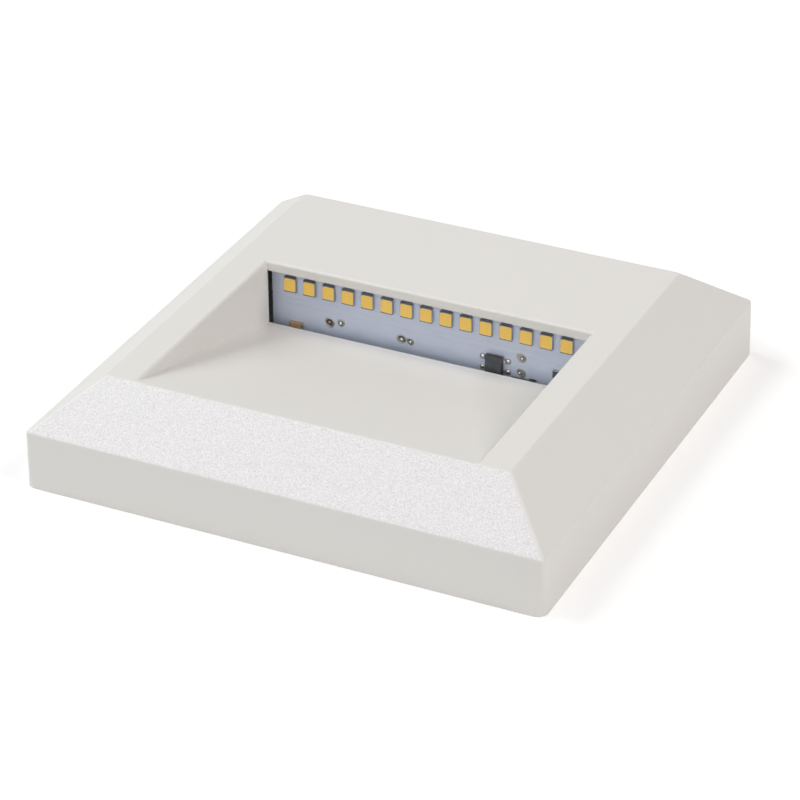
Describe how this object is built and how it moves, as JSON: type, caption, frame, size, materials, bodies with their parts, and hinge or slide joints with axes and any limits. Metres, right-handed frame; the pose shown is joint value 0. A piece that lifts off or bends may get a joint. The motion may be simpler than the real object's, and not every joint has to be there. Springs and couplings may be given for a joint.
{
  "type": "wall light",
  "caption": "Square white surface-mounted wall light; a sloping light well recessed in its face hides a row of lamps behind a clear window, and the head pushes onto a wall plate.",
  "frame": {"origin": "centre of the wall face, the plane that lies against the wall", "axes": "+Z points out of the wall, +Y points from the shallow end of the light well to its lamps, +X completes the right-handed set"},
  "size_m": [0.112, 0.112, 0.022],
  "materials": {
    "powder_coat_white": "fine-texture white powder coat on die-cast aluminium",
    "galvanised_steel": "galvanised sheet steel",
    "spring_steel": "stainless spring strip",
    "plated_steel": "zinc-plated steel screws and rivets",
    "mill_aluminium": "bare folded aluminium sheet",
    "clear_polycarbonate": "clear polycarbonate sheet",
    "silicone_grey": "grey silicone",
    "silicone_white": "white silicone",
    "rubber_black": "black rubber",
    "moulded_plastic_white": "white moulded plastic",
    "solder_mask_blue_grey": "pale solder mask on glass-fibre board",
    "lamp_package_grey": "grey ceramic lamp package",
    "phosphor_yellow": "yellow phosphor in silicone",
    "solder": "bright solder and tinned leads",
    "chip_black": "black epoxy",
    "chip_ceramic_tan": "tan ceramic",
    "varistor_blue": "blue epoxy coating",
    "brass": "turned brass",
    "lead_brown": "brown lead insulation",
    "lead_blue": "blue lead insulation",
    "lead_green_yellow": "green-yellow lead insulation"
  },
  "bodies": {
    "wall_mount": {"wall_plate": "galvanised_steel", "snap_clips": "spring_steel", "clip_rivets": "plated_steel"},
    "light_head": {"front_housing": "powder_coat_white", "light_window": "clear_polycarbonate", "window_seal": "silicone_white", "led_board": "solder_mask_blue_grey", "led_packages": "lamp_package_grey", "led_phosphors": "phosphor_yellow", "led_terminals": "solder", "led_solder_pads": "solder", "rectifier_body": "chip_black", "rectifier_leads": "solder", "driver_chip": "chip_black", "chip_resistors": "chip_black", "chip_capacitor": "chip_ceramic_tan", "varistor": "varistor_blue", "solder_joints": "solder", "thermal_tape": "silicone_grey", "board_bracket": "mill_aluminium", "bracket_screws": "plated_steel", "cover_gasket": "silicone_grey", "back_cover": "moulded_plastic_white", "cover_screws": "plated_steel", "cable_grommet": "rubber_black", "cable_clamp": "moulded_plastic_white", "clamp_screws": "plated_steel", "terminal_block": "moulded_plastic_white", "terminal_inserts": "brass", "terminal_screws": "plated_steel", "block_screws": "plated_steel", "wire_live": "lead_brown", "wire_neutral": "lead_blue", "wire_earth": "lead_green_yellow", "earth_lug": "solder", "earth_screw": "plated_steel"}
  },
  "joints": [
    {"name": "lift_off", "type": "slide", "parent": "wall_mount", "child": "light_head", "axis": [0, 0, 1], "range_m": [0, 0.03]}
  ]
}
